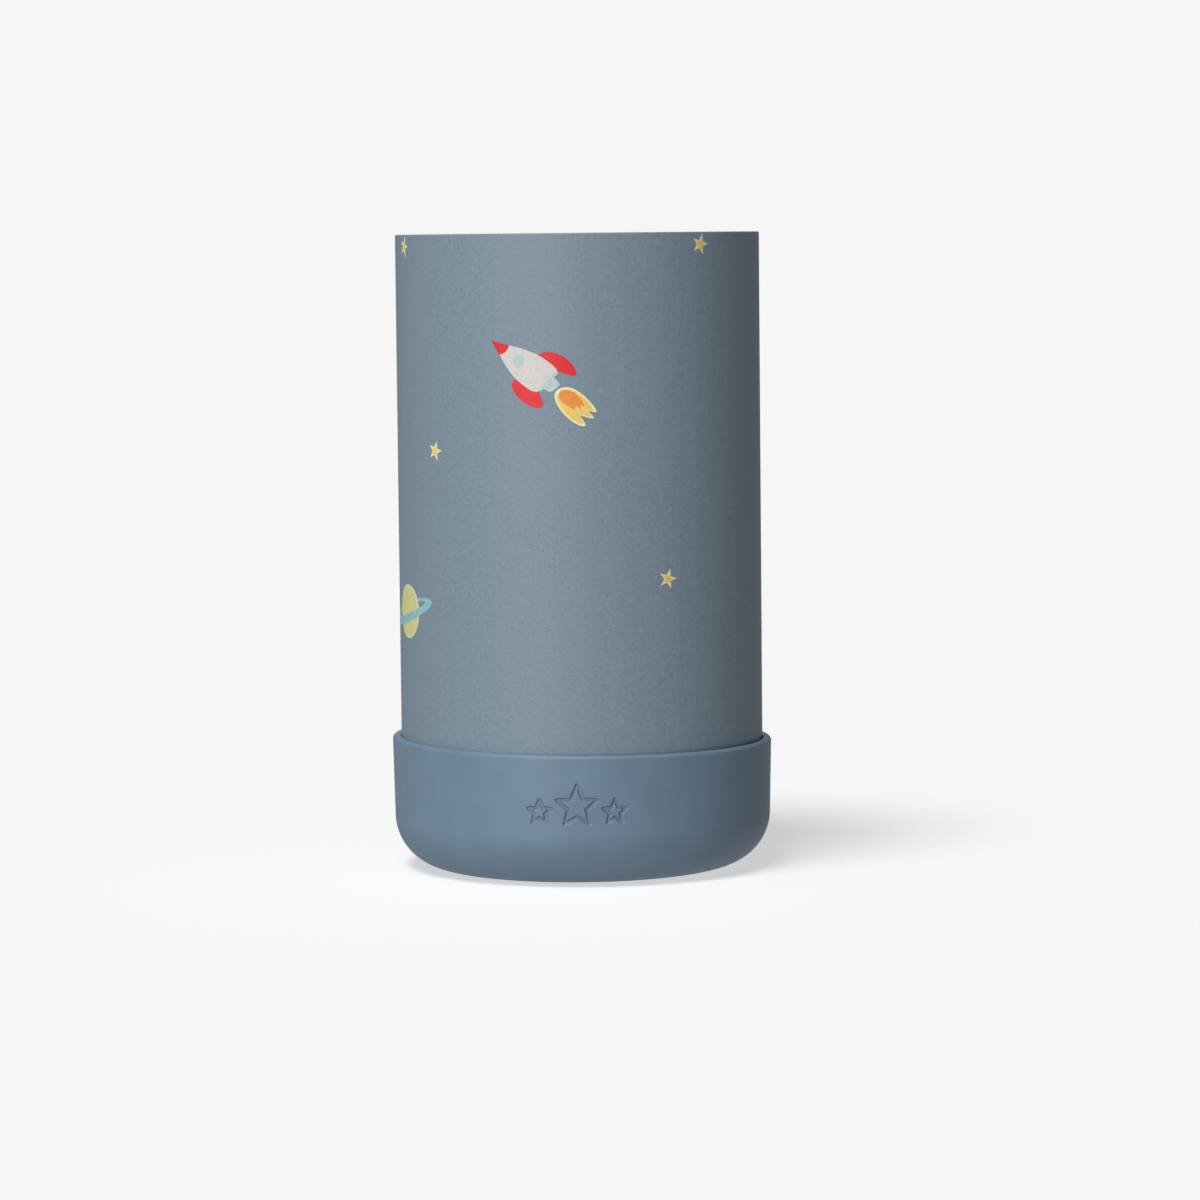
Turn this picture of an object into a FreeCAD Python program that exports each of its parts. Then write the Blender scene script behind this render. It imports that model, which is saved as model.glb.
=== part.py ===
"""Kids water bottle: a straight double-walled steel flask with a flush screw-in straw lid, in a silicone boot.

Millimetres. +Z is up, the front (emblem and stowed spout tip) faces -Y, and the origin is the centre of the
face that the bottle stands on. Each function below makes one piece, and each piece is one STEP file in parts/.
"""

import FreeCAD, Part
import math
import os

from FreeCAD import Vector

# ---- driving dimensions -------------------------------------------------------------------------------------
body_r = 36.0            # coated outside of the steel shell
bottle_height = 125.6    # floor to the steel lip
boot_height = 25.8       # floor to the boot's rim
boot_rim_r = 37.75       # outside of the boot at its rim
boot_foot_r = 37.45      # outside of the boot where its corner starts
boot_corner_r = 10.6     # round between the boot's side and its base
boot_floor = 2.6         # silicone under the flask
boot_rim_round = 1.4     # the whole thickness of the rim is rounded over to the outside
boot_mouth_round = 0.25
shell_wall = 0.6
liner_wall = 0.5
neck_vacuum_gap = 2.4
neck_step = 1.2          # the liner is this much narrower under the neck, where the lid's seal runs
thread_lead = 4.0        # the lid rises this much in one turn
thread_turns = 1.5

slide_gap = 0.10         # boot to shell, silicone on steel
part_gap = 0.30          # between parts that turn past each other
pivot_gap = 0.08         # radial clearance on a hinge pin

# ---- flask, worked out from the above -----------------------------------------------------------------------
boot_seat_step = 0.12    # the shell is this much smaller where the boot covers it
boot_seat_r = body_r - boot_seat_step
boot_bore_r = boot_seat_r + slide_gap
seat_top_z = boot_height - 0.75
coat_low_z = boot_height + 0.15
flask_z = boot_floor + 0.05
shell_corner_r = 8.5
shell_bore_r = body_r - shell_wall
neck_r = shell_bore_r - neck_vacuum_gap - liner_wall
liner_r = neck_r - neck_step
liner_floor_z = 9.0
liner_corner_r = 8.0
step_low_z = 101.9
step_high_z = 102.7
lip_r = 34.3             # inside of the lip, where the flared mouth ends
flare_z = bottle_height - 7.0
flare_top_z = bottle_height - 2.4
base_hole_r = 23.0
base_plate_wall = 0.6
dimple_rise = 1.4        # height of the base plate's middle above its rim
getter_x = 13.0
getter_r = 4.0
getter_height = 2.4
getter_wall = 0.3

# ---- lid ----------------------------------------------------------------------------------------------------
thread_height = 1.0      # how far a thread ridge stands off its wall
thread_root_w = 1.8
thread_crest_w = 0.8
thread_bite = 0.2        # how far a ridge is sunk in its wall
neck_thread_z = 105.5    # middle of the neck's ridge, where it starts
lid_thread_drop = 1.5    # the lid's ridge lies this far under the neck's
lid_r = neck_r - thread_height - part_gap
lid_top_z = bottle_height - 0.8
recess_r = 28.6
deck_z = 112.0           # floor of the recess in the lid's top
deck_thickness = 2.2
deck_root = 0.5          # how far a post or stem is sunk in the deck
skirt_z = 103.0          # bottom of the upper lid shell
skirt_bore_r = lid_r - 2.0
plug_z = 95.5            # bottom of the lid's lower cover
plug_wall = 1.6
groove_low_z = 97.6
groove_high_z = 101.6
groove_r = 29.2
seal_gap = 0.15

# ---- spout and straw ----------------------------------------------------------------------------------------
spout_y = 18.5           # pivot of the spout, behind the middle
spout_z = 118.2
barrel_r = 5.2
barrel_half = 7.0
trunnion_r = 1.7
ear_gap = 0.25
ear_thickness = 2.0
ear_outer_r = 4.6
spout_reach = 28.3       # pivot to the tip of the mouthpiece
neck_tube_r = 3.6
drink_r = 2.2            # the bore that the water runs through
collar_start = 8.4       # distances from the pivot to the two faces of the mouthpiece's stop
collar_end = 10.2
collar_r = 4.8
mouthpiece_r = 5.0
stem_r = 3.6
nipple_r = 3.0
nipple_low_z = 87.5
nipple_top_z = 95.0
straw_wall = 1.2
straw_low_z = 12.5
seat_washer_r = 4.5
seat_pocket = 1.2        # depth of the washer's pocket in the deck
push_gap = 0.02          # soft sleeve on a stem
rest_gap = 0.25          # stowed spout or bail to the pad under it

# ---- vent ---------------------------------------------------------------------------------------------------
vent_x = -14.0
vent_y = 6.0
vent_r = 1.2
vent_stem_r = 2.8
valve_length = 7.0

# ---- bail ---------------------------------------------------------------------------------------------------
bail_y = 2.0             # pivot of the bail
bail_z = 119.0
bail_arm_x = 23.4        # middle of each arm
bail_width = 4.2
bail_depth = 5.0
bail_arc_y = -1.7        # centre of its half circle
bail_eye_r = 3.3
bail_post_r = 3.4
bail_pin_r = 1.25
bail_pin_inner_x = 21.9
bail_pin_outer_x = 30.2

X_AXIS = Vector(1, 0, 0)
Y_AXIS = Vector(0, 1, 0)
Z_AXIS = Vector(0, 0, 1)
SINK = 1.0               # how far a cutting tool runs past the face that it opens

# stars pressed in the front of the boot: place along X, height, radius
emblem_stars = ((-8.4, 14.9, 2.7), (-1.1, 16.0, 4.4), (6.2, 14.9, 2.7))
emblem_waist = 0.45      # a star's inner radius over its outer radius
emblem_stroke = 0.27     # width of a star's outline over its radius
emblem_depth = 0.25


# ---- shared helpers -----------------------------------------------------------------------------------------
def outline_wire(corners, place):
    """A closed wire through corners (a, b) or (a, b, radius), each round corner as a tangent arc."""
    points = [Vector(c[0], c[1], 0) for c in corners]
    radii = [c[2] if len(c) > 2 else 0.0 for c in corners]
    count = len(points)
    spans = []
    for i in range(count):
        before, here, after = points[i - 1], points[i], points[(i + 1) % count]
        to_before = (before - here).normalize()
        to_after = (after - here).normalize()
        if radii[i] == 0:
            spans.append((here, None, here))
            continue
        half = to_before.getAngle(to_after) / 2
        setback = radii[i] / math.tan(half)
        bisector = (to_before + to_after).normalize()
        centre = here + bisector * (radii[i] / math.sin(half))
        spans.append((here + to_before * setback, centre - bisector * radii[i], here + to_after * setback))
    edges = []
    for i in range(count):
        start, middle, end = spans[i]
        if middle is not None:
            edges.append(Part.Arc(place(start), place(middle), place(end)).toShape())
        next_start = spans[(i + 1) % count][0]
        if (next_start - end).Length > 1e-6:
            edges.append(Part.LineSegment(place(end), place(next_start)).toShape())
    return Part.Wire(edges)


def turned(corners, x=0.0, y=0.0):
    """A solid of revolution about a vertical axis at x, y, from its half section as (radius, z) corners."""
    wire = outline_wire(corners, lambda p: Vector(x + p.x, y, p.y))
    return Part.Face(wire).revolve(Vector(x, y, 0), Z_AXIS, 360)


def rod(radius, x, y, low_z, high_z):
    """An upright cylinder."""
    return Part.makeCylinder(radius, high_z - low_z, Vector(x, y, low_z), Z_AXIS)


def cross_rod(radius, low_x, high_x, y, z):
    """A cylinder along X."""
    return Part.makeCylinder(radius, high_x - low_x, Vector(low_x, y, z), X_AXIS)


def thread_ridge(wall_r, outward, start_z):
    """A helical ridge of trapezoid section on a wall, standing outward (1) or inward (-1)."""
    root = wall_r - outward * thread_bite
    crest = wall_r + outward * thread_height
    root_half = thread_root_w / 2
    crest_half = thread_crest_w / 2
    section = [(root, -root_half), (crest, -crest_half), (crest, crest_half), (root, root_half)]
    points = [Vector(r, 0, start_z + z) for r, z in section]
    profile = Part.makePolygon(points + points[:1])
    path = Part.makeHelix(thread_lead, thread_lead * thread_turns, wall_r)
    path.translate(Z_AXIS * start_z)
    return Part.Wire(path.Edges).makePipeShell([profile], True, True)


def star_corners(x, z, radius):
    """The ten corners of a five-pointed star, point up."""
    corners = []
    for i in range(10):
        angle = math.pi / 2 + i * math.pi / 5
        reach = radius * (emblem_waist if i % 2 else 1.0)
        corners.append((x + reach * math.cos(angle), z + reach * math.sin(angle)))
    return corners


# ---- boot ---------------------------------------------------------------------------------------------------
def star_groove(x, z, radius):
    """Cutting tool for one star outline pressed into the front of the boot."""
    outer, inner = [Part.Face(outline_wire(star_corners(x, z, r), lambda p: Vector(p.x, 0, p.y)))
                    for r in (radius, radius * (1 - emblem_stroke))]
    prism = outer.cut(inner).extrude(-Y_AXIS * (boot_rim_r + SINK))
    return prism.cut(rod(boot_foot_r - emblem_depth, 0, 0, 0, boot_height))


def silicone_boot():
    """Moulded cup that grips the lower end of the flask, with a hollow under its foot and pressed stars."""
    foot_hollow_r = 23.0
    foot_hollow = 0.8
    corners = [
        (0, foot_hollow),
        (foot_hollow_r - 1.2, foot_hollow, 0.8),
        (foot_hollow_r, 0, 0.3),
        (boot_foot_r, 0, boot_corner_r),
        (boot_rim_r, boot_height, boot_rim_round),
        (boot_bore_r, boot_height, boot_mouth_round),
        (boot_bore_r, boot_floor, shell_corner_r),
        (0, boot_floor),
    ]
    boot = turned(corners)
    for x, z, radius in emblem_stars:
        boot = boot.cut(star_groove(x, z, radius))
    return boot


# ---- flask --------------------------------------------------------------------------------------------------
def outer_shell():
    """Powder-coated steel tube, turned in at the foot, a hair narrower where the boot sits."""
    corners = [
        (base_hole_r, flask_z),
        (boot_seat_r, flask_z, shell_corner_r),
        (boot_seat_r, seat_top_z),
        (body_r, coat_low_z),
        (body_r, bottle_height, 0.3),
        (shell_bore_r, bottle_height),
        (shell_bore_r, flask_z + shell_wall, shell_corner_r - shell_wall),
        (base_hole_r, flask_z + shell_wall),
    ]
    return turned(corners)


def inner_liner():
    """Seamless steel cup with a stepped neck, a rolled internal thread and a lip welded to the shell."""
    lip_wall = 0.7
    corners = [
        (0, liner_floor_z - liner_wall),
        (liner_r + liner_wall, liner_floor_z - liner_wall, liner_corner_r + liner_wall),
        (liner_r + liner_wall, step_low_z, 0.8),
        (neck_r + liner_wall, step_high_z, 0.8),
        (neck_r + liner_wall, flare_z, 4.0),
        (lip_r + liner_wall, flare_top_z, 2.0),
        (lip_r + liner_wall, bottle_height - lip_wall, 0.2),
        (shell_bore_r, bottle_height - lip_wall),
        (shell_bore_r, bottle_height, 0.25),
        (lip_r, bottle_height, 0.45),
        (lip_r, flare_top_z, 2.0),
        (neck_r, flare_z, 4.0),
        (neck_r, step_high_z, 0.8),
        (liner_r, step_low_z, 0.8),
        (liner_r, liner_floor_z, liner_corner_r),
        (0, liner_floor_z),
    ]
    return turned(corners).fuse(thread_ridge(neck_r, -1, neck_thread_z))


def radiation_foil():
    """Thin metal foil wrapped round the liner inside the vacuum."""
    inner = liner_r + liner_wall + 0.25
    outer = inner + 0.15
    low = liner_floor_z + 9.0
    high = step_low_z - 4.0
    return turned([(inner, low), (outer, low), (outer, high), (inner, high)])


def base_plate():
    """Steel disc that closes the vacuum from below, with a raised dimple round the pump-out hole."""
    low = flask_z + shell_wall
    edge_r = base_hole_r + 3.5
    dimple_r = 4.5
    top = low + base_plate_wall
    hole_r = 0.9
    slope_shift = 0.3
    corners = [
        (hole_r, low + dimple_rise),
        (dimple_r - dimple_rise, low + dimple_rise, 0.4),
        (dimple_r, low, 0.4),
        (edge_r, low),
        (edge_r, top),
        (dimple_r + slope_shift, top, 0.4),
        (dimple_r - dimple_rise + slope_shift, top + dimple_rise, 0.4),
        (hole_r, top + dimple_rise),
    ]
    return turned(corners)


def vacuum_seal_bead():
    """Glass solder bead melted over the pump-out hole, from below."""
    top = flask_z + shell_wall + dimple_rise
    low = top - 0.9
    bead_r = 2.3
    return turned([(0, low), (bead_r, low, 0.4), (bead_r, top), (0, top)])


def getter_cup():
    """Small steel cup welded to the inside of the base plate, away from the pump-out hole."""
    low = flask_z + shell_wall + base_plate_wall
    corners = [(0, low), (getter_r, low, 0.4), (getter_r, low + getter_height),
               (getter_r - getter_wall, low + getter_height), (getter_r - getter_wall, low + getter_wall),
               (0, low + getter_wall)]
    return turned(corners, x=getter_x)


def getter_pellet():
    """Pressed pellet in the cup that soaks up what gas the metal gives off into the vacuum."""
    low = flask_z + shell_wall + base_plate_wall + getter_wall
    pellet_r = getter_r - getter_wall - 0.05
    height = getter_height - getter_wall - 0.2
    return turned([(0, low), (pellet_r, low), (pellet_r, low + height, 0.3), (0, low + height)], x=getter_x)


def bottom_cover():
    """Steel disc glued under the base plate, flush with the foot of the shell."""
    cover_r = base_hole_r - 0.1
    top = flask_z + shell_wall
    return turned([(0, flask_z), (cover_r, flask_z), (cover_r, top, 0.2), (0, top)])


# ---- lid ----------------------------------------------------------------------------------------------------
def pivot_post(low_x, high_x, y, z, radius):
    """Upright post on the deck with a rounded top, to carry a pivot along X."""
    foot_z = deck_z - deck_root
    web = Part.makeBox(high_x - low_x, 2 * radius, z - foot_z, Vector(low_x, y - radius, foot_z))
    return cross_rod(radius, low_x, high_x, y, z).fuse(web)


def spout_ear(side):
    """Post at one end of the spout's barrel; side is 1 or -1."""
    inner = barrel_half + ear_gap
    low_x, high_x = sorted((side * inner, side * (inner + ear_thickness)))
    return pivot_post(low_x, high_x, spout_y, spout_z, ear_outer_r)


def bail_boss(side):
    """Post against the recess wall that holds one of the bail's pins; side is 1 or -1."""
    inner = bail_arm_x + bail_width / 2 + part_gap
    low_x, high_x = sorted((side * inner, side * lid_r))
    post = pivot_post(low_x, high_x, bail_y, bail_z, bail_post_r)
    return post.common(rod(lid_r - 0.8, 0, 0, deck_z - SINK, lid_top_z))


def rest_pad(half_width, low_y, high_y, moving_z):
    """Low pad on the deck that a stowed part, with its underside at moving_z, comes down on."""
    foot_z = deck_z - deck_root
    return Part.makeBox(2 * half_width, high_y - low_y, moving_z - rest_gap - foot_z,
                        Vector(-half_width, low_y, foot_z))


def straw_stem():
    """Pipe from the deck down through the lid, stepped in to a nipple for the straw."""
    return turned([(0, nipple_low_z), (nipple_r, nipple_low_z, 0.6), (nipple_r, nipple_top_z),
                   (stem_r, nipple_top_z), (stem_r, deck_z - deck_root), (0, deck_z - deck_root)], y=spout_y)


def lid_shell():
    """Threaded cup of the lid: recess for the spout and bail on top, straw and vent stems below."""
    rim_r = lip_r - 0.6
    rim_low_z = lid_top_z - 1.4
    underside_z = deck_z - deck_thickness
    corners = [
        (0, underside_z),
        (skirt_bore_r, underside_z, 1.0),
        (skirt_bore_r, skirt_z),
        (lid_r, skirt_z, 0.3),
        (lid_r, flare_z - 0.6, 3.0),
        (rim_r, rim_low_z, 0.6),
        (rim_r, lid_top_z, 0.4),
        (recess_r, lid_top_z, 0.9),
        (recess_r, deck_z, 1.6),
        (0, deck_z),
    ]
    vent_stem = rod(vent_stem_r, vent_x, vent_y, plug_z - 1.0, deck_z - deck_root)
    spout_pad = rest_pad(2.5, spout_y - collar_end + 0.2, spout_y - collar_start - 0.2, spout_z - collar_r)
    bow_y = bail_arc_y - bail_arm_x
    bail_pad = rest_pad(3.0, bow_y - 1.1, bow_y + 1.1, bail_z - bail_depth / 2)
    posts = [spout_ear(1), spout_ear(-1), bail_boss(1), bail_boss(-1)]
    lid = turned(corners).fuse(thread_ridge(lid_r, 1, neck_thread_z - lid_thread_drop))
    for added in posts + [spout_pad, bail_pad, straw_stem(), vent_stem]:
        lid = lid.fuse(added)
    ear_end = barrel_half + ear_gap + ear_thickness + SINK
    holes = [
        rod(seat_washer_r, 0, spout_y, deck_z - seat_pocket, deck_z + SINK),
        rod(drink_r, 0, spout_y, nipple_low_z - SINK, deck_z),
        rod(vent_r, vent_x, vent_y, plug_z - 1.0 - SINK, deck_z + SINK),
        cross_rod(trunnion_r + pivot_gap, -ear_end, ear_end, spout_y, spout_z),
        cross_rod(bail_pin_r, bail_arm_x, bail_pin_outer_x, bail_y, bail_z),
        cross_rod(bail_pin_r, -bail_pin_outer_x, -bail_arm_x, bail_y, bail_z),
    ]
    for hole in holes:
        lid = lid.cut(hole)
    return lid


def lid_base():
    """Lower cover of the lid, welded under the upper shell: closes its air space and holds the seal ring."""
    foot_r = liner_r - 0.5
    flange_r = liner_r - 0.4
    wall_r = groove_r - plug_wall
    collar_r = skirt_bore_r - 0.05
    collar_top_z = skirt_z + 2.0
    corners = [
        (0, plug_z),
        (foot_r, plug_z, 1.2),
        (foot_r, groove_low_z, 0.3),
        (groove_r, groove_low_z),
        (groove_r, groove_high_z),
        (flange_r, groove_high_z, 0.3),
        (flange_r, skirt_z),
        (collar_r, skirt_z),
        (collar_r, collar_top_z, 0.3),
        (wall_r, collar_top_z, 0.3),
        (wall_r, plug_z + plug_wall, 1.0),
        (0, plug_z + plug_wall),
    ]
    top = plug_z + 2 * plug_wall
    base = turned(corners).cut(rod(stem_r + push_gap, 0, spout_y, plug_z - SINK, top))
    return base.cut(rod(vent_stem_r + push_gap, vent_x, vent_y, plug_z - SINK, top))


def lid_insulation():
    """Foam disc that fills the space inside the lid, with holes for the two stems."""
    low = plug_z + plug_wall + 0.2
    high = deck_z - deck_thickness - 0.2
    foam_r = groove_r - plug_wall - 0.3
    stem_gap = 0.2
    foam = turned([(0, low), (foam_r, low, 1.0), (foam_r, high, 1.0), (0, high)])
    foam = foam.cut(rod(stem_r + stem_gap, 0, spout_y, low - SINK, high + SINK))
    return foam.cut(rod(vent_stem_r + stem_gap, vent_x, vent_y, low - SINK, high + SINK))


def lid_gasket():
    """Silicone seal ring with two lips, in the groove of the lid's lower cover."""
    inner = groove_r + 0.2
    lip_out_r = liner_r - seal_gap
    back_r = lip_out_r - 0.9
    low = groove_low_z + seal_gap
    high = groove_high_z - seal_gap
    lip_rise = 0.5
    lip_end = 1.1
    lip_pitch = 2.1
    lips = []
    for lip_low in (low, low + lip_pitch):
        lips += [
            (back_r, lip_low),
            (lip_out_r, lip_low + lip_rise, 0.25),
            (lip_out_r, lip_low + lip_end, 0.25),
            (back_r, lip_low + lip_rise + lip_end),
        ]
    return turned([(inner, low)] + lips + [(inner, high)])


def wedge_of_duckbill(half_width, half_top, half_tip, low_z, high_z):
    """A block that narrows downward in Y, centred on the vent."""
    corners = [(-half_top, high_z), (half_top, high_z), (half_tip, low_z), (-half_tip, low_z)]
    wire = outline_wire(corners, lambda p: Vector(vent_x - half_width, vent_y + p.x, p.y))
    return Part.Face(wire).extrude(X_AXIS * 2 * half_width)


def vent_valve():
    """Silicone duckbill valve on the vent stem: a round sleeve that narrows to a flat slit."""
    top = plug_z - 0.05
    low = top - valve_length
    sleeve_r = vent_stem_r + 1.2
    bill_z = top - 3.0
    slit = 0.12
    sleeve = rod(sleeve_r, vent_x, vent_y, bill_z, top)
    bill = wedge_of_duckbill(sleeve_r, sleeve_r, 0.9, low, bill_z)
    bill = bill.common(rod(sleeve_r, vent_x, vent_y, low, bill_z))
    inside = wedge_of_duckbill(2.2, 1.8, slit, low - SINK, bill_z - 0.6)
    socket = rod(vent_stem_r + push_gap, vent_x, vent_y, plug_z - 1.0 - push_gap, top + SINK)
    throat = rod(vent_r, vent_x, vent_y, bill_z - 1.0, plug_z)
    valve = sleeve.fuse(bill)
    for hollow in (socket, throat, inside):
        valve = valve.cut(hollow)
    return valve


def spout_seat_seal():
    """Silicone washer in the deck, hollowed to the spout's barrel, that seals it in both positions."""
    low = deck_z - seat_pocket
    high = spout_z - barrel_r + 1.0
    washer = rod(seat_washer_r - 0.05, 0, spout_y, low, high)
    bore = rod(drink_r, 0, spout_y, low - SINK, high + SINK)
    saddle = cross_rod(barrel_r + 0.05, -seat_washer_r - SINK, seat_washer_r + SINK, spout_y, spout_z)
    return washer.cut([bore, saddle])


# ---- spout, straw and bail ----------------------------------------------------------------------------------
def along_spout(corners):
    """A solid of revolution about the stowed spout's axis, from (radius, distance from the pivot) corners."""
    wire = outline_wire(corners, lambda p: Vector(p.x, spout_y - p.y, spout_z))
    return Part.Face(wire).revolve(Vector(0, spout_y, spout_z), Y_AXIS, 360)


def spout_arm():
    """Barrel with a trunnion at each end and the tube that the mouthpiece is pushed on."""
    barrel = cross_rod(barrel_r, -barrel_half, barrel_half, spout_y, spout_z)
    barrel = barrel.makeFillet(0.5, [e for e in barrel.Edges if isinstance(e.Curve, Part.Circle)])
    reach = barrel_half + ear_gap + ear_thickness
    trunnions = cross_rod(trunnion_r, -reach, reach, spout_y, spout_z)
    tube_end = spout_reach - 3.0
    tube = along_spout([(0, 0), (neck_tube_r, 0), (neck_tube_r, collar_start, 0.3),
                        (collar_r, collar_start, 0.4), (collar_r, collar_end, 0.2),
                        (neck_tube_r, collar_end), (neck_tube_r, tube_end, 0.4), (0, tube_end)])
    bore = Part.makeCylinder(drink_r, spout_reach + 2 * barrel_r, Vector(0, spout_y + 2 * barrel_r, spout_z),
                             -Y_AXIS)
    return barrel.fuse(trunnions).fuse(tube).cut(bore)


def spout_mouthpiece():
    """Soft silicone mouthpiece over the end of the spout's tube."""
    bore = neck_tube_r + push_gap
    start = collar_end + 0.05
    bore_end = spout_reach - 2.9
    corners = [
        (bore, start),
        (mouthpiece_r, start, 0.6),
        (mouthpiece_r - 0.5, start + 3.0, 2.0),
        (mouthpiece_r - 0.5, spout_reach - 7.5, 3.0),
        (mouthpiece_r, spout_reach - 3.5, 2.0),
        (mouthpiece_r - 0.6, spout_reach, 1.2),
        (drink_r, spout_reach, 0.5),
        (drink_r, bore_end),
        (bore, bore_end),
    ]
    return along_spout(corners)


def drinking_straw():
    """Silicone straw pushed on the nipple, cut at a slant so that it can't suck itself shut on the floor."""
    bore_r = nipple_r + push_gap
    outer_r = bore_r + straw_wall
    top = nipple_top_z - 0.1
    cut_rise = 3.0
    tube = rod(outer_r, 0, spout_y, straw_low_z, top).cut(rod(bore_r, 0, spout_y, straw_low_z - SINK, top + SINK))
    slant = [(spout_y - outer_r - SINK, straw_low_z), (spout_y + outer_r + SINK, straw_low_z - SINK),
             (spout_y + outer_r + SINK, straw_low_z + cut_rise)]
    wedge = Part.Face(outline_wire(slant, lambda p: Vector(-outer_r - SINK, p.x, p.y)))
    return tube.cut(wedge.extrude(X_AXIS * 2 * (outer_r + SINK)))


def carry_bail():
    """U-shaped carrying handle, stowed flat round the spout, with an eye at the end of each arm."""
    outer = bail_arm_x + bail_width / 2
    inner = bail_arm_x - bail_width / 2
    low_z = bail_z - bail_depth / 2
    arm_length = bail_y - bail_arc_y
    block = Part.makeBox(2 * outer, arm_length, bail_depth, Vector(-outer, bail_arc_y, low_z))
    opening = Part.makeBox(2 * inner, arm_length + SINK, bail_depth + 2 * SINK,
                           Vector(-inner, bail_arc_y - SINK / 2, low_z - SINK))
    half_disc = rod(outer, 0, bail_arc_y, low_z, low_z + bail_depth)
    bow = half_disc.fuse(block).cut(rod(inner, 0, bail_arc_y, low_z - SINK, low_z + bail_depth + SINK))
    behind = Part.makeBox(2 * outer, 2 * outer, bail_depth, Vector(-outer, bail_y, low_z))
    bow = bow.cut(opening).cut(behind).removeSplitter()
    long_edges = [e for e in bow.Edges if e.BoundBox.ZLength < 1e-3 and e.BoundBox.YMin < bail_y - 1e-3]
    bail = bow.makeFillet(1.6, long_edges)
    for side in (1, -1):
        low_x, high_x = sorted((side * inner, side * outer))
        bail = bail.fuse(cross_rod(bail_eye_r, low_x, high_x, bail_y, bail_z))
    return bail.cut(cross_rod(bail_pin_r + pivot_gap, -outer - SINK, outer + SINK, bail_y, bail_z))


def bail_pins():
    """The two steel pins that the bail swings on, pressed into the bosses of the lid."""
    pins = []
    for side in (1, -1):
        low_x, high_x = sorted((side * bail_pin_inner_x, side * bail_pin_outer_x))
        pin = cross_rod(bail_pin_r, low_x, high_x, bail_y, bail_z)
        pins.append(pin.makeChamfer(0.25, [e for e in pin.Edges if isinstance(e.Curve, Part.Circle)]))
    return Part.makeCompound(pins)


PIECES = (
    silicone_boot,
    outer_shell, inner_liner, radiation_foil,
    base_plate, vacuum_seal_bead, getter_cup, getter_pellet, bottom_cover,
    lid_shell, lid_base, lid_insulation, lid_gasket, vent_valve, spout_seat_seal,
    spout_arm, spout_mouthpiece, drinking_straw,
    carry_bail, bail_pins,
)


def main():
    os.makedirs("parts", exist_ok=True)
    for piece in PIECES:
        shape = piece()
        box = shape.BoundBox
        print(f"{piece.__name__}: {len(shape.Solids)} solid(s), valid {shape.isValid()}, "
              f"{shape.Volume / 1000:.2f} cm3, z {box.ZMin:.2f} to {box.ZMax:.2f}")
        shape.exportStep(f"parts/{piece.__name__}.step")


main()
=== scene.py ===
# Looks of the kids' insulated bottle: a coated steel body with printed space pictures, a silicone boot and a
# straw lid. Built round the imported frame, in metres. Sizes written here are in millimetres, unless their
# comment says otherwise, and pass through MM.

import bmesh
import bpy
import math
import numpy as np
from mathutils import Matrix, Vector


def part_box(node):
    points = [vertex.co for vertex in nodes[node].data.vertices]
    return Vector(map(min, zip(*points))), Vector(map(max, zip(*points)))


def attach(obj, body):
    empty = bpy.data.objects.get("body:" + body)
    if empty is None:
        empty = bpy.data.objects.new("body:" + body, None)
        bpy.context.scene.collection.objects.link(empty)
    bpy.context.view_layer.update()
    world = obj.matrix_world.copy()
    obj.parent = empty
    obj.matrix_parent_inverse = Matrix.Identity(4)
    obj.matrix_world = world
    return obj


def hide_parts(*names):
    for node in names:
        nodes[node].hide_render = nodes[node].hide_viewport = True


MM = 0.001

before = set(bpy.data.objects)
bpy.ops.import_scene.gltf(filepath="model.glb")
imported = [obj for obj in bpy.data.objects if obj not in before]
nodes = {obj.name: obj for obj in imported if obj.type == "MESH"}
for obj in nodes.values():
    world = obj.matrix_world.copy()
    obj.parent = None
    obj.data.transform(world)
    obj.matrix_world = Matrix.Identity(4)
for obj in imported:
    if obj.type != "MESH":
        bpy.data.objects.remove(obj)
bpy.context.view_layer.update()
shell_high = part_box("outer_shell")[1]
body_r = shell_high.x / MM
body_top = shell_high.z / MM
sharp_from = math.radians(40)    # edges at least this sharp are not shaded smooth

# ---- powder coat -------------------------------------------------------------------------------------
coat_grain = 0.52        # size and depth of the orange peel
coat_grain_depth = 0.045
bare_lip = 0.30          # the coat stops this far inside the body's outer face

# ---- silicone boot -----------------------------------------------------------------------------------
boot_low, boot_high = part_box("silicone_boot")
boot_top = boot_high.z / MM
boot_rim_r = min(boot_high.x, boot_high.y, -boot_low.x, -boot_low.y) / MM
boot_foot_r = boot_rim_r - 0.3
boot_corner_r = 10.6
boot_rim_round = 0.7
boot_mouth_r = body_r + 0.04
boot_mouth_round = 0.25
boot_bore_r = body_r - 0.02
boot_inner_corner_r = 8.5
boot_floor = 2.6
foot_hollow_r = 23.0     # the foot is hollow inside this radius
foot_hollow = 0.8
boot_mouth_depth = 1.2   # how far under the rim the mouth starts to narrow, and where the bore starts
boot_bore_depth = 1.8
boot_skew = 0.6          # the rim sits this much higher on the left than in the middle
skew_start_z = 13.0      # the skew fades out below this
boot_disc_rings = (8, 16)    # radii of the rings of points across the skin's flat faces
boot_row_step = 0.13     # height between the skin's rows, fine enough for the pressed stars
boot_turn_step = 2.0     # degrees between the skin's columns, and between those where the stars are
emblem_turn_step = 0.2
emblem_from, emblem_to = -18.5, 15.5     # the stars lie between these angles

# arc along the front, height, radius
emblem_stars = ((-8.4, 14.9, 2.7), (-1.1, 16.0, 4.4), (6.2, 14.9, 2.7))
emblem_stroke = 0.55
emblem_depth = 0.38
emblem_edge = 0.22       # width of the groove's rounded shoulder
emblem_waist = 0.45      # inner radius of a pressed star over its outer radius

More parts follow.
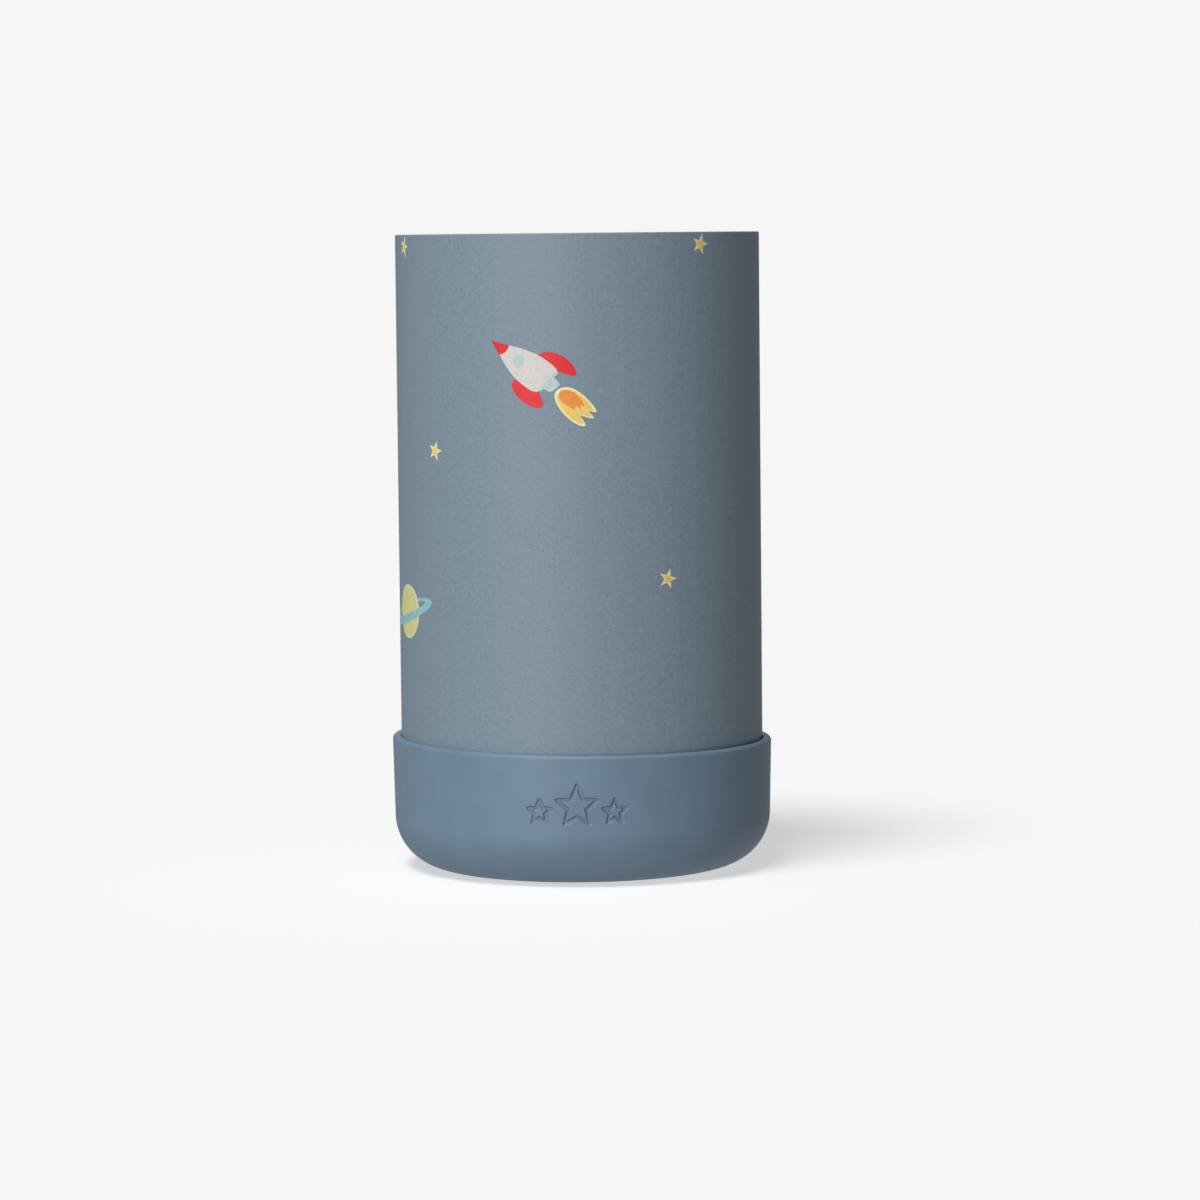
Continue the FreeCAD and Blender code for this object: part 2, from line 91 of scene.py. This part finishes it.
# ---- prints ------------------------------------------------------------------------------------------
ink_start = 0.030        # height of the first ink layer over the body
ink_step = 0.012
ink_root = -0.06         # the ink's hidden back, under the coat
ink_span = 0.9           # longest edge allowed, so that the ink follows the curve
print_waist = 0.38       # inner radius of a printed star over its outer radius

# angle round the body from the front (anticlockwise from above is positive), height, turn, size
front_stars = ((-69.7, 123.2, -16, 2.05), (41.0, 123.2, -16, 2.05),
               (-50.7, 83.8, -16, 2.05), (27.8, 59.2, -16, 2.0))
back_stars = ((97, 100, -16, 2.0), (104, 40, -16, 2.0), (132, 119, -16, 2.05), (156, 88, -16, 2.0),
              (-172, 112, -16, 2.0), (-148, 40, -16, 2.05), (-130, 80, -16, 2.0), (-99, 97, -16, 2.05))
planets = ((-69.7, 51.9, 13, 1.0), (118, 72, 13, 1.0), (-124, 113, 13, 0.9))
rockets = ((-15.8, 99.8, -37, 1.0), (176, 60, -37, 1.0))
moons = ((-107, 60, 20, 1.0), (148, 44, -15, 0.95))

# ---- studio ------------------------------------------------------------------------------------------
backdrop = 0.922         # brightness of the floor out of the shadow, and of the wall
floor_albedo = 0.90
floor_glow = 0.525       # the floor's own light, which keeps the shadow pale
key_from = (-34, 65)     # azimuth from the front (positive to the right) and elevation, in degrees
key_softness = 24        # apparent width of the key light, in degrees
key_strength = 1.25
softbox_from = (-28, 15)
softbox_power = 16.2
overhead_power = 9.0
back_from = (180, 55)
back_power = 8.0
softbox_size = 0.7       # metres
softbox_distance = 1.6
sky_high = 0.08          # brightness of the surroundings above and below the horizon
sky_low = 0.46
sky_blend = 0.12         # the change between the two ends this far above and below it (sine of the elevation)


def srgb(red, green, blue):
    """Linear colour from 0 to 255 display values."""
    values = [c / 255 for c in (red, green, blue)]
    linear = [c / 12.92 if c <= 0.04045 else ((c + 0.055) / 1.055) ** 2.4 for c in values]
    return (*linear, 1.0)


# ---- materials ---------------------------------------------------------------------------------------
class Recipe:
    """A new material with its main shader and short ways to add and join nodes."""

    def __init__(self, name, roughness, metallic=0.0, **settings):
        self.material = bpy.data.materials.new(name)
        self.material.use_nodes = True
        self.tree = self.material.node_tree
        self.shader = self.tree.nodes["Principled BSDF"]
        self.shader.inputs["Roughness"].default_value = roughness
        self.shader.inputs["Metallic"].default_value = metallic
        for socket, value in settings.items():
            self.shader.inputs[socket.replace("_", " ")].default_value = value

    def node(self, kind, **values):
        """A new shader node with its inputs or settings given by name."""
        made = self.tree.nodes.new(kind)
        for key, value in values.items():
            if key in made.inputs:
                made.inputs[key].default_value = value
            else:
                setattr(made, key, value)
        return made

    def join(self, out, into):
        self.tree.links.new(out, into)

    def place(self):
        """Coordinates fixed to the object."""
        return self.node("ShaderNodeTexCoord").outputs["Object"]

    def noise(self, grain_mm, detail=3.0, coords=None):
        """Noise whose features are about grain_mm across."""
        made = self.node("ShaderNodeTexNoise", Scale=1.0 / (grain_mm * MM), Detail=detail)
        self.join(coords or self.place(), made.inputs["Vector"])
        return made.outputs["Fac"]

    def radius(self):
        """Distance from the object's upright axis."""
        flat = self.node("ShaderNodeVectorMath", operation="MULTIPLY")
        self.join(self.place(), flat.inputs[0])
        flat.inputs[1].default_value = (1, 1, 0)
        length = self.node("ShaderNodeVectorMath", operation="LENGTH")
        self.join(flat.outputs["Vector"], length.inputs[0])
        return length.outputs["Value"]

    def ranged(self, value, low, high, start=0.3, end=0.7):
        """A signal from start to end, by default that of noise, spread over low to high."""
        made = self.node("ShaderNodeMapRange")
        for socket, number in (("From Min", start), ("From Max", end), ("To Min", low), ("To Max", high)):
            made.inputs[socket].default_value = number
        self.join(value, made.inputs["Value"])
        return made.outputs["Result"]

    def mixed(self, factor, first, second):
        """A colour between first and second, which are colours or sockets."""
        made = self.node("ShaderNodeMix", data_type="RGBA")
        self.join(factor, made.inputs["Factor"])
        for socket, colour in ((made.inputs[6], first), (made.inputs[7], second)):
            if isinstance(colour, bpy.types.NodeSocket):
                self.join(colour, socket)
            else:
                socket.default_value = colour
        return made.outputs[2]

    def colour(self, source):
        self.join(source, self.shader.inputs["Base Color"])

    def roughness(self, source):
        self.join(source, self.shader.inputs["Roughness"])

    def bump(self, height, depth_mm, strength=1.0):
        """Gives the surface a relief from a height signal."""
        made = self.node("ShaderNodeBump", Strength=strength, Distance=depth_mm * MM)
        self.join(height, made.inputs["Height"])
        self.join(made.outputs["Normal"], self.shader.inputs["Normal"])


def shaded(colour, factor):
    """A colour made lighter or darker."""
    return (*[min(1.0, c * factor) for c in colour[:3]], 1.0)


def powder_coat():
    """Matte slate-blue powder coat with a fine orange-peel grain, ending at the bare steel of the lip."""
    coat = srgb(120, 138, 151)
    recipe = Recipe("powder_coat", 0.55, Specular_IOR_Level=0.42)
    fine = recipe.noise(coat_grain, 4.0)
    broad = recipe.noise(9.0, 2.0)
    speckled = recipe.mixed(recipe.ranged(fine, 0.0, 1.0), shaded(coat, 0.88), shaded(coat, 1.12))
    coated = recipe.mixed(recipe.ranged(broad, 0.0, 0.35), speckled, shaded(coat, 1.04))
    inside = recipe.node("ShaderNodeMath", operation="LESS_THAN")
    recipe.join(recipe.radius(), inside.inputs[0])
    inside.inputs[1].default_value = (body_r - bare_lip) * MM
    recipe.colour(recipe.mixed(inside.outputs["Value"], coated, srgb(196, 196, 194)))
    recipe.join(inside.outputs["Value"], recipe.shader.inputs["Metallic"])
    recipe.roughness(recipe.ranged(fine, 0.50, 0.64))
    recipe.bump(fine, coat_grain_depth, 0.55)
    return recipe.material


def turned_steel(name, tone, roughness):
    """Bare steel with the fine rings that turning and polishing leave."""
    recipe = Recipe(name, roughness, metallic=1.0, Anisotropic=0.4)
    split = recipe.node("ShaderNodeSeparateXYZ")
    recipe.join(recipe.place(), split.inputs["Vector"])
    rings = recipe.node("ShaderNodeCombineXYZ")
    recipe.join(recipe.radius(), rings.inputs["X"])
    recipe.join(split.outputs["Z"], rings.inputs["Z"])
    lines = recipe.noise(0.12, 2.0, rings.outputs["Vector"])
    smear = recipe.noise(6.0)
    recipe.colour(recipe.mixed(recipe.ranged(lines, 0.0, 1.0), shaded(tone, 0.86), shaded(tone, 1.06)))
    recipe.roughness(recipe.ranged(smear, roughness - 0.05, roughness + 0.08))
    recipe.bump(lines, 0.006, 0.5)
    return recipe.material


def moulded(name, colour, grain_mm=0.22, roughness=0.48, depth_mm=0.02, spread=0.05, **settings):
    """Moulded plastic or rubber with a fine texture and slight cloudiness."""
    recipe = Recipe(name, roughness, **settings)
    fine = recipe.noise(grain_mm)
    cloud = recipe.noise(7.0, 2.0)
    recipe.colour(recipe.mixed(recipe.ranged(cloud, 0.0, 1.0),
                               shaded(colour, 1 - spread), shaded(colour, 1 + spread)))
    recipe.roughness(recipe.ranged(fine, roughness - 0.05, roughness + 0.06))
    recipe.bump(fine, depth_mm, 0.4)
    return recipe.material


def ink(name, colour):
    """Printed ink: a little uneven, with the coat's grain showing through."""
    recipe = Recipe(name, 0.5, Specular_IOR_Level=0.4)
    fine = recipe.noise(coat_grain, 4.0)
    patch = recipe.noise(1.6)
    flecked = recipe.mixed(recipe.ranged(fine, 0.0, 1.0), shaded(colour, 0.90), shaded(colour, 1.08))
    recipe.colour(recipe.mixed(recipe.ranged(patch, 0.0, 0.5), flecked, shaded(colour, 0.93)))
    recipe.bump(fine, coat_grain_depth, 0.55)
    return recipe.material


def foam():
    """White closed-cell foam with visible cells."""
    recipe = Recipe("foam", 0.85)
    cells = recipe.node("ShaderNodeTexVoronoi", Scale=1.0 / (1.3 * MM))
    recipe.join(recipe.place(), cells.inputs["Vector"])
    edge = cells.outputs["Distance"]
    recipe.colour(recipe.mixed(edge, srgb(244, 242, 236), srgb(222, 219, 210)))
    recipe.bump(edge, 0.25, 0.6)
    return recipe.material


def pressed_powder():
    """Dark pressed metal powder."""
    recipe = Recipe("pressed_powder", 0.8, metallic=0.6)
    fine = recipe.noise(0.18, 6.0)
    recipe.colour(recipe.mixed(recipe.ranged(fine, 0.0, 1.0), srgb(58, 58, 60), srgb(104, 103, 104)))
    recipe.bump(fine, 0.08, 0.8)
    return recipe.material


def dress_nodes():
    """Gives each CAD node its material."""
    steel = turned_steel("bare_steel", srgb(198, 198, 196), 0.30)
    inner_steel = turned_steel("liner_steel", srgb(202, 201, 198), 0.34)
    lid_blue = moulded("lid_plastic", srgb(104, 126, 144), 0.25, 0.46)
    accent = moulded("accent_plastic", srgb(84, 106, 126), 0.20, 0.42)
    natural = moulded("inner_plastic", srgb(214, 216, 216), 0.30, 0.40, spread=0.02)
    clear = moulded("clear_silicone", srgb(236, 239, 238), 0.40, 0.42, spread=0.02,
                    Transmission_Weight=0.12, IOR=1.41)
    chosen = {
        "outer_shell": powder_coat(),
        "inner_liner": inner_steel,
        "radiation_foil": turned_steel("copper_foil", srgb(214, 152, 118), 0.22),
        "base_plate": steel,
        "vacuum_seal_bead": moulded("solder_glass", srgb(62, 58, 54), 0.5, 0.16),
        "getter_cup": steel,
        "getter_pellet": pressed_powder(),
        "bottom_cover": steel,
        "lid_shell": lid_blue,
        "lid_base": natural,
        "lid_insulation": foam(),
        "lid_gasket": clear,
        "vent_valve": clear,
        "spout_seat_seal": clear,
        "spout_arm": accent,
        "spout_mouthpiece": clear,
        "drinking_straw": clear,
        "carry_bail": accent,
        "bail_pins": turned_steel("pin_steel", srgb(206, 206, 205), 0.22),
    }
    for name, material in chosen.items():
        mesh = nodes[name].data
        mesh.materials.clear()
        mesh.materials.append(material)


# ---- mesh helpers ------------------------------------------------------------------------------------
def star_outline(radius, waist):
    """Corners of a five-pointed star, point up; the waist is its inner radius over its outer radius."""
    angles = [math.pi / 2 + i * math.pi / 5 for i in range(10)]
    reach = [radius * (waist if i % 2 else 1.0) for i in range(10)]
    return [(r * math.cos(a), r * math.sin(a)) for r, a in zip(reach, angles)]


def ellipse(half_width, half_height, centre=(0.0, 0.0), count=40):
    """Points round an ellipse."""
    angles = [2 * math.pi * i / count for i in range(count)]
    return [(centre[0] + half_width * math.cos(a), centre[1] + half_height * math.sin(a)) for a in angles]


def smooth_outline(points, corners=()):
    """A closed curve through the points, sharp at the numbered corners."""
    run = np.array(points, dtype=float)
    pull = (np.roll(run, -1, axis=0) - np.roll(run, 1, axis=0)) / 2
    pull[list(corners)] = 0
    curve = []
    for start, end, leave, arrive in zip(run, np.roll(run, -1, axis=0), pull, np.roll(pull, -1, axis=0)):
        for t in (0.0, 0.25, 0.5, 0.75):
            rise = t * t * (3 - 2 * t)
            bend = t * (1 - t) * ((1 - t) * leave - t * arrive)
            curve.append(tuple(start + rise * (end - start) + bend))
    return curve


def scaled(outline, factor, centre):
    """An outline made smaller or larger about a point."""
    return [(centre[0] + factor * (a - centre[0]), centre[1] + factor * (b - centre[1])) for a, b in outline]


def arc_points(centre, radius, start_deg, end_deg, count):
    """Points along a circular arc of a profile."""
    angles = np.radians(np.linspace(start_deg, end_deg, count))
    return [(centre[0] + radius * math.cos(a), centre[1] + radius * math.sin(a)) for a in angles]


def finished_mesh(name, bm, materials):
    """An object from a bmesh in millimetres, facing outward, shaded smooth except at its sharp edges."""
    bmesh.ops.recalc_face_normals(bm, faces=bm.faces)
    for edge in bm.edges:
        edge.smooth = edge.calc_face_angle(0) < sharp_from
    bmesh.ops.scale(bm, vec=(MM, MM, MM), verts=bm.verts)
    mesh = bpy.data.meshes.new(name)
    bm.to_mesh(mesh)
    bm.free()
    for material in materials:
        mesh.materials.append(material)
    for face in mesh.polygons:
        face.use_smooth = True
    made = bpy.data.objects.new(name, mesh)
    bpy.context.scene.collection.objects.link(made)
    return made


# ---- boot --------------------------------------------------------------------------------------------
def boot_profile():
    """Half section of the boot as (radius, height), from the middle of its foot round to its inner floor."""
    foot = [(r, foot_hollow) for r in (0, *boot_disc_rings)]
    foot += arc_points((foot_hollow_r - 1.0, foot_hollow - 0.4), 0.4, 90, 0, 4)
    foot += arc_points((foot_hollow_r, 0.3), 0.3, 180, 270, 4)
    corner = arc_points((boot_foot_r - boot_corner_r, boot_corner_r), boot_corner_r, -90, 0, 26)
    rim_low = boot_top - boot_rim_round
    heights = np.arange(boot_corner_r + 0.6, rim_low - 0.1, boot_row_step)
    slope = (boot_rim_r - boot_foot_r) / (rim_low - boot_corner_r)
    side = [(boot_foot_r + slope * (z - boot_corner_r), z) for z in heights]
    rim = arc_points((boot_rim_r - boot_rim_round, rim_low), boot_rim_round, 0, 90, 12)
    lip_centre = (boot_mouth_r + boot_mouth_round, boot_top - boot_mouth_round)
    lip = arc_points(lip_centre, boot_mouth_round, 90, 180, 5)
    bore = [(boot_mouth_r, boot_top - boot_mouth_depth), (boot_bore_r, boot_top - boot_bore_depth),
            (boot_bore_r, 14.0)]
    corner_centre = (boot_bore_r - boot_inner_corner_r, boot_floor + boot_inner_corner_r)
    bore += arc_points(corner_centre, boot_inner_corner_r, 0, -90, 10)
    inner_floor = [(boot_disc_rings[-1], boot_floor), (0, boot_floor)]
    return foot + corner + side + rim + lip + bore + inner_floor


def distance_to_outline(points, outline):
    """Distance of each (x, y) row of points to a closed run of straight edges."""
    best = np.full(len(points), np.inf)
    for start, end in zip(outline, outline[1:] + outline[:1]):
        start, along = np.array(start), np.array(end) - np.array(start)
        t = np.clip((points - start) @ along / (along @ along), 0, 1)
        best = np.minimum(best, np.linalg.norm(points - start - t[:, None] * along, axis=1))
    return best


def emblem_sink(arc, height):
    """Depth of the pressed star outlines at points on the boot's front."""
    points = np.stack([arc, height], axis=1)
    sink = np.zeros(len(points))
    for x, z, radius in emblem_stars:
        near = distance_to_outline(points - (x, z), star_outline(radius - emblem_stroke / 2, emblem_waist))
        rise = np.clip((emblem_stroke / 2 + emblem_edge / 2 - near) / emblem_edge, 0, 1)
        sink = np.maximum(sink, emblem_depth * rise * rise * (3 - 2 * rise))
    return sink


def silicone_boot(material):
    """The boot as one closed lathed skin, finer where the stars are pressed in, its rim a little askew."""
    fine = np.arange(emblem_from, emblem_to, emblem_turn_step)
    coarse = np.arange(emblem_to, emblem_from + 360, boot_turn_step)
    angles = np.radians(np.concatenate([fine, coarse]))
    profile = np.array(boot_profile())
    inner_rows = profile[1:-1]
    radius = np.repeat(inner_rows[:, 0], len(angles))
    height = np.repeat(inner_rows[:, 1], len(angles))
    around = np.tile(angles, len(inner_rows))
    wrapped = (around + math.pi) % (2 * math.pi) - math.pi
    outside = radius > boot_mouth_r + 1
    in_front = np.abs(wrapped) < 0.5
    radius = radius - np.where(outside & in_front, emblem_sink(wrapped * boot_foot_r, height), 0)
    lift = np.clip((height - skew_start_z) / (boot_top - skew_start_z), 0, 1)
    height = height - boot_skew * np.sin(around) * (radius / boot_rim_r) * lift * lift
    bm = bmesh.new()
    rings = [bm.verts.new((r * math.sin(a), -r * math.cos(a), z)) for r, a, z in zip(radius, around, height)]
    count = len(angles)
    for row in range(len(inner_rows) - 1):
        for column in range(count):
            here, beside = row * count + column, row * count + (column + 1) % count
            bm.faces.new((rings[here], rings[beside], rings[beside + count], rings[here + count]))
    for centre, row in ((profile[0], 0), (profile[-1], len(inner_rows) - 1)):
        hub = bm.verts.new((0, 0, centre[1]))
        for column in range(count):
            bm.faces.new((hub, rings[row * count + column], rings[row * count + (column + 1) % count]))
    boot = finished_mesh("boot_skin", bm, [material])
    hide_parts("silicone_boot")
    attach(boot, "boot")


# ---- printed pictures --------------------------------------------------------------------------------
def add_ink(bm, outline, layer, colour_index, place):
    """One patch of ink as a thin closed shell on the body, from an outline about the picture's middle."""
    angle_deg, height, turn_deg, size = place
    turn = math.radians(turn_deg)
    patch = bmesh.new()
    corners = []
    for a, b in outline:
        along = size * (a * math.cos(turn) - b * math.sin(turn))
        up = size * (a * math.sin(turn) + b * math.cos(turn))
        corners.append(patch.verts.new((along, 0, up)))
    patch.faces.new(corners)
    patch.normal_update()
    bmesh.ops.triangulate(patch, faces=patch.faces)
    long_edges = [e for e in patch.edges if e.calc_length() > ink_span]
    while long_edges:
        bmesh.ops.subdivide_edges(patch, edges=long_edges, cuts=1)
        bmesh.ops.triangulate(patch, faces=[f for f in patch.faces if len(f.verts) > 3])
        long_edges = [e for e in patch.edges if e.calc_length() > ink_span]
    top_r = body_r + ink_start + layer * ink_step
    front = []
    back = []
    for vert in patch.verts:
        angle = math.radians(angle_deg) + vert.co.x / body_r
        z = height + vert.co.z
        for copies, r in ((front, top_r), (back, body_r + ink_root)):
            copies.append(bm.verts.new((r * math.sin(angle), -r * math.cos(angle), z)))
    patch.verts.index_update()
    made = []
    for face in patch.faces:
        ids = [v.index for v in face.verts]
        made.append(bm.faces.new([front[i] for i in ids]))
        made.append(bm.faces.new([back[i] for i in reversed(ids)]))
    for edge in patch.edges:
        if edge.is_boundary:
            i, j = (v.index for v in edge.verts)
            made.append(bm.faces.new((front[i], front[j], back[j], back[i])))
    for face in made:
        face.material_index = colour_index
    patch.free()


def picture(name, place, patches, inks):
    """One printed picture from (outline, ink name) patches, each a layer above the last."""
    used = sorted({ink_name for outline, ink_name in patches})
    bm = bmesh.new()
    for layer, (outline, ink_name) in enumerate(patches):
        add_ink(bm, outline, layer, used.index(ink_name), place)
    made = finished_mesh(name, bm, [inks[ink_name] for ink_name in used])
    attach(made, "flask")


def star_patches():
    """A pale star with a smaller and fuller one on it."""
    return [(star_outline(1.0, print_waist), "pale_yellow"),
            (star_outline(0.55, print_waist + 0.1), "yellow")]


def half_ring(start_deg, end_deg):
    """The front or back half of the planet's ring, thicker in front."""
    long_out, short_out, long_in, short_in, hole_up = 10.5, 2.05, 8.1, 0.8, 0.45
    angles = np.radians(np.linspace(start_deg, end_deg, 40))
    outer = [(long_out * math.cos(a), short_out * math.sin(a)) for a in angles]
    inner = [(long_in * math.cos(a), hole_up + short_in * math.sin(a)) for a in angles[::-1]]
    return outer + inner


def planet_patches():
    """A round planet with a pale rim, in front of one half of its tilted ring and behind the other."""
    radius, rim = 5.3, 0.4
    overlap = 3    # degrees by which the back half runs on under the front half
    return [(half_ring(-overlap, 180 + overlap), "aqua"), (ellipse(radius, radius), "pale_lime"),
            (ellipse(radius - rim, radius - rim), "lime"), (half_ring(180, 360), "aqua")]


def moon_patches():
    """A crescent with two small craters."""
    outer = arc_points((0, 0), 4.6, 60, 300, 36)
    inner = arc_points((2.3, 0), 3.98, 270, 90, 30)
    return [(outer + inner, "pale_yellow"), (ellipse(0.55, 0.55, (-3.2, 1.1), 14), "yellow"),
            (ellipse(0.4, 0.4, (-2.9, -1.7), 12), "yellow")]


def rocket_patches():
    """A rocket that flies along its own minus x, drawn about a point half way down its hull.

    Its outlines are (distance from the nose, height over the middle line), each from the front over the top.
    """
    nose = smooth_outline([(0, 0), (3.5, 1.5), (3.65, 0.1), (2.9, -1.2)], corners=(0, 1, 3))
    hull = smooth_outline([(2.5, 0.9), (3.5, 1.5), (6.1, 2.6), (9.0, 3.4), (11.3, 3.6), (13.3, 3.5),
                           (14.4, 3.0), (13.8, -1.6), (12.5, -2.7), (10.4, -2.9), (8.0, -2.8), (5.6, -2.2),
                           (3.3, -1.3), (2.3, -0.7)], corners=(0, 6, 7, 13))
    rear = [(13.8, 3.2), (14.4, 3.0), (13.8, -1.6), (13.2, -2.2)]
    nozzle = smooth_outline([(13.9, 2.0), (16.0, 1.5), (15.7, -0.1), (15.1, -0.9), (13.4, -1.2)],
                            corners=(0, 1, 3, 4))
    upper_fin = smooth_outline([(9.1, 3.1), (9.7, 4.5), (11.0, 5.5), (12.9, 6.1), (14.9, 6.1), (16.4, 5.6),
                                (17.2, 4.9), (17.1, 4.4), (16.1, 4.0), (14.1, 3.2)], corners=(0, 9))
    lower_fin = smooth_outline([(13.2, -2.0), (15.1, -3.1), (15.8, -3.8), (15.0, -4.8), (13.1, -5.4),
                                (10.7, -5.4), (9.2, -4.9), (8.2, -4.0), (8.4, -2.5)], corners=(0, 2, 8))
    window = ellipse(1.15, 1.15, (6.7, 0.3), 24)
    flame = smooth_outline([(16.1, 0.2), (16.9, 1.6), (18.6, 2.4), (20.9, 2.5), (23.2, 2.1), (24.5, 1.6),
                            (24.3, 1.1), (23.1, 0.6), (24.8, 0.3), (24.5, -0.2), (22.5, -0.9), (24.4, -1.8),
                            (24.0, -2.4), (22.2, -2.8), (19.7, -2.6), (17.7, -1.9), (16.4, -0.9)],
                           corners=(7, 10))
    core = smooth_outline([(16.7, 0.2), (17.2, 1.2), (18.7, 1.8), (20.5, 1.7), (21.7, 1.2), (22.0, 0.8),
                           (21.2, 0.6), (21.8, 0.1), (20.7, 0.1), (20.9, -0.8), (19.7, -0.9), (18.4, -1.0),
                           (17.2, -0.6)], corners=(6, 8))
    inner_flame = scaled(flame, 0.86, (20.0, -0.1))
    parts = [
        (upper_fin, "red"), (lower_fin, "red"), (nozzle, "pale_aqua"), (hull, "white"),
        (rear, "pale_aqua"), (nose, "red"), (window, "pale_aqua"),
        (flame, "pale_yellow"), (inner_flame, "yellow"), (core, "orange"),
    ]
    middle = 9.0
    return [([(a - middle, b) for a, b in outline], colour) for outline, colour in parts]


def printed_pictures():
    """All the pictures on the body, with their inks."""
    inks = {
        "yellow": ink("ink_yellow", srgb(234, 202, 106)),
        "pale_yellow": ink("ink_pale_yellow", srgb(238, 228, 176)),
        "lime": ink("ink_lime", srgb(212, 208, 142)),
        "pale_lime": ink("ink_pale_lime", srgb(220, 222, 176)),
        "aqua": ink("ink_aqua", srgb(141, 190, 194)),
        "pale_aqua": ink("ink_pale_aqua", srgb(178, 200, 198)),
        "red": ink("ink_red", srgb(222, 26, 38)),
        "white": ink("ink_white", srgb(209, 204, 201)),
        "orange": ink("ink_orange", srgb(236, 141, 61)),
    }
    kinds = (("star", front_stars + back_stars, star_patches()), ("planet", planets, planet_patches()),
             ("moon", moons, moon_patches()), ("rocket", rockets, rocket_patches()))
    for kind, places, patches in kinds:
        for number, place in enumerate(places, 1):
            picture(f"print_{kind}_{number}", place, patches, inks)


# ---- surroundings ------------------------------------------------------------------------------------
def aim(thing, target):
    """Turns a light or the camera toward a point."""
    thing.rotation_mode = "QUATERNION"
    thing.rotation_quaternion = (Vector(target) - thing.location).to_track_quat("-Z", "Y")


def floor_and_wall():
    """One backdrop, unseen by the bottle: a floor that takes the shadow and fades into plain brightness."""
    hole_r, shadow_r, plain_r, wall_r, wall_top = 0.01, 1.5, 4.0, 7.0, 5.0    # metres
    recipe = Recipe("floor_and_wall", 0.9, Specular_IOR_Level=0.0, Emission_Color=(1, 1, 1, 1))
    fade = recipe.ranged(recipe.radius(), 0.0, 1.0, shadow_r, plain_r)
    recipe.colour(recipe.mixed(fade, (floor_albedo, floor_albedo, floor_albedo, 1), (0, 0, 0, 1)))
    glow = recipe.ranged(fade, floor_glow, backdrop, 0.0, 1.0)
    recipe.join(glow, recipe.shader.inputs["Emission Strength"])
    count = 96
    angles = [2 * math.pi * i / count for i in range(count)]
    bm = bmesh.new()
    profile = ((hole_r, 0), (shadow_r, 0), (wall_r, 0), (wall_r, wall_top))
    rows = [[bm.verts.new((r / MM * math.sin(a), -r / MM * math.cos(a), z / MM)) for a in angles]
            for r, z in profile]
    for low, high in zip(rows, rows[1:]):
        for i in range(count):
            j = (i + 1) % count
            bm.faces.new((low[i], low[j], high[j], high[i]))
    made = finished_mesh("floor_and_wall", bm, [recipe.material])
    made.visible_diffuse = False
    made.visible_glossy = False
    made.visible_shadow = False
    return made


def direction(azimuth_deg, elevation_deg):
    """Unit vector from the bottle toward an azimuth (from the front, positive to the right) and elevation."""
    azimuth, elevation = math.radians(azimuth_deg), math.radians(elevation_deg)
    return Vector((math.sin(azimuth) * math.cos(elevation), -math.cos(azimuth) * math.cos(elevation),
                   math.sin(elevation)))


def lamp(name, kind, strength, from_direction, distance, **settings):
    """A light aimed at the middle of the bottle."""
    data = bpy.data.lights.new(name, kind)
    data.energy = strength
    for key, value in settings.items():
        setattr(data, key, value)
    made = bpy.data.objects.new(name, data)
    middle = Vector((0, 0, body_top / 2 * MM))
    made.location = middle + distance * direction(*from_direction)
    aim(made, middle)
    made.visible_camera = False
    bpy.context.scene.collection.objects.link(made)
    return made


def studio():
    """Backdrop, a key light for the shadow, softboxes that light only the bottle, and a dim sky."""
    lamp("key", "SUN", key_strength, key_from, softbox_distance, angle=math.radians(key_softness))
    unlit = bpy.data.collections.new("not_lit_by_softboxes")
    unlit.objects.link(floor_and_wall())
    unlit.collection_objects[0].light_linking.link_state = "EXCLUDE"
    softboxes = (("softbox", softbox_power, softbox_from), ("overhead", overhead_power, (0, 90)),
                 ("back", back_power, back_from))
    for name, power, source in softboxes:
        box = lamp(name, "AREA", power, source, softbox_distance, size=softbox_size)
        box.light_linking.receiver_collection = unlit
    bpy.context.scene.world = surroundings()


def surroundings():
    """Dim above the horizon and bright below, as over a pale table top."""
    world = bpy.data.worlds.new("surroundings")
    world.use_nodes = True
    nodes_in, links = world.node_tree.nodes, world.node_tree.links
    split = nodes_in.new("ShaderNodeSeparateXYZ")
    level = nodes_in.new("ShaderNodeMapRange")
    level.interpolation_type = "SMOOTHSTEP"
    span = (("From Min", -sky_blend), ("From Max", sky_blend), ("To Min", sky_low), ("To Max", sky_high))
    for socket, number in span:
        level.inputs[socket].default_value = number
    links.new(nodes_in.new("ShaderNodeTexCoord").outputs["Generated"], split.inputs["Vector"])
    links.new(split.outputs["Z"], level.inputs["Value"])
    links.new(level.outputs["Result"], nodes_in["Background"].inputs["Strength"])
    nodes_in["Background"].inputs["Color"].default_value = (1, 1, 1, 1)
    return world


def camera():
    """Long lens level with the lip, a little to one side and rolled by half a degree."""
    data = bpy.data.cameras.new("camera")
    data.sensor_width = 36.0
    data.lens = 132.4
    data.clip_start, data.clip_end = 0.05, 20
    made = bpy.data.objects.new("camera", data)
    made.location = (0, -0.8766, 0.1235)
    aim(made, (0.00385, 0, 0.0527))
    made.rotation_mode = "XYZ"
    made.rotation_euler.rotate_axis("Z", math.radians(-0.57))
    bpy.context.scene.collection.objects.link(made)
    bpy.context.scene.camera = made


bpy.context.scene.view_settings.view_transform = "Standard"
dress_nodes()
silicone_boot(moulded("boot_silicone", srgb(106, 130, 150), 0.18, 0.52, depth_mm=0.015, spread=0.04))
printed_pictures()
studio()
camera()
